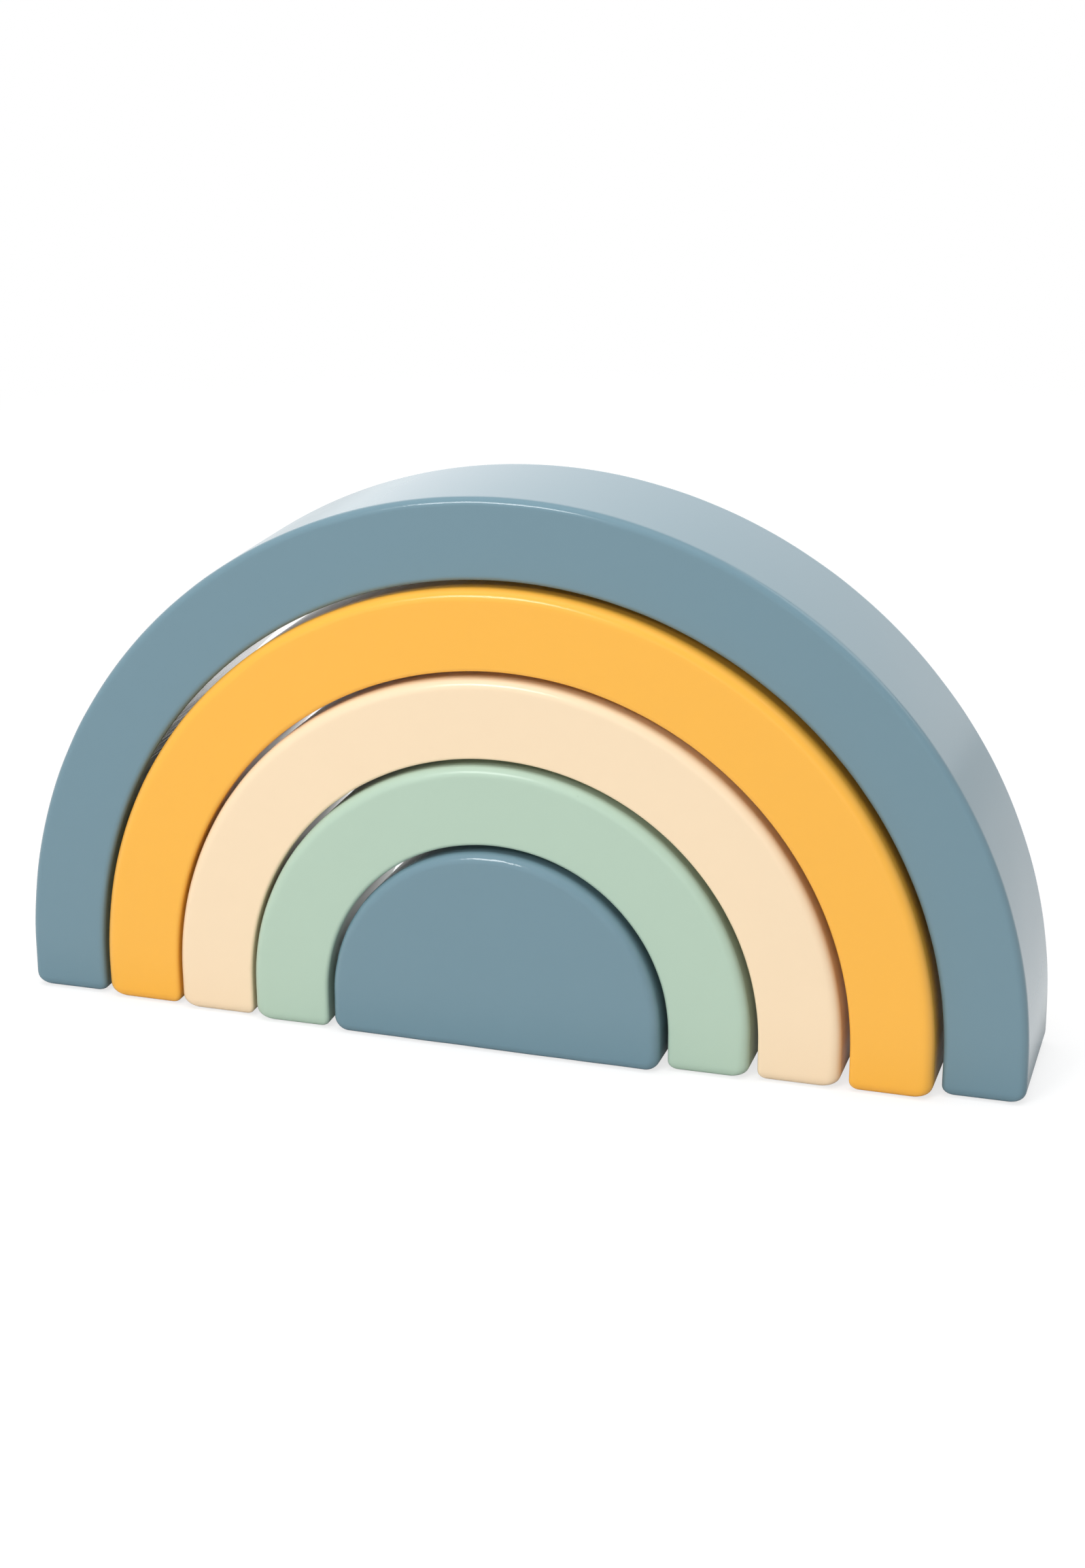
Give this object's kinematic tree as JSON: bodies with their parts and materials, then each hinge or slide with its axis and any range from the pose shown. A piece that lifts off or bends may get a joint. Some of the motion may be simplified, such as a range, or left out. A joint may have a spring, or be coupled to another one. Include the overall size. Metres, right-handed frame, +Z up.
{
  "type": "nesting rainbow stacker",
  "caption": "Painted wooden nesting rainbow: loose round arches with short straight legs that stand one inside the other over a solid half-round block, with softened edges.",
  "frame": {"origin": "on the table under the middle of the set's box", "axes": "+X to the right along the width, +Y to the back through the board's depth, +Z up; the front faces -Y"},
  "size_m": [0.179, 0.032, 0.0963],
  "materials": {
    "blue_paint": "blue-grey satin paint over sanded wood",
    "yellow_paint": "warm yellow satin paint over sanded wood",
    "cream_paint": "cream satin paint over sanded wood",
    "mint_paint": "pale mint satin paint over sanded wood"
  },
  "bodies": {
    "half_round": {"blue_half_round": "blue_paint"},
    "mint": {"mint_arch": "mint_paint"},
    "cream": {"cream_arch": "cream_paint"},
    "yellow": {"yellow_arch": "yellow_paint"},
    "blue": {"blue_arch": "blue_paint"}
  },
  "joints": [
    {"name": "mint_lift", "type": "slide", "parent": "half_round", "child": "mint", "axis": [0, 0, 1], "range_m": [0, 0.0463]},
    {"name": "cream_lift", "type": "slide", "parent": "mint", "child": "cream", "axis": [0, 0, 1], "range_m": [0, 0.0613]},
    {"name": "yellow_lift", "type": "slide", "parent": "cream", "child": "yellow", "axis": [0, 0, 1], "range_m": [0, 0.0763]},
    {"name": "blue_lift", "type": "slide", "parent": "yellow", "child": "blue", "axis": [0, 0, 1], "range_m": [0, 0.0913]}
  ]
}
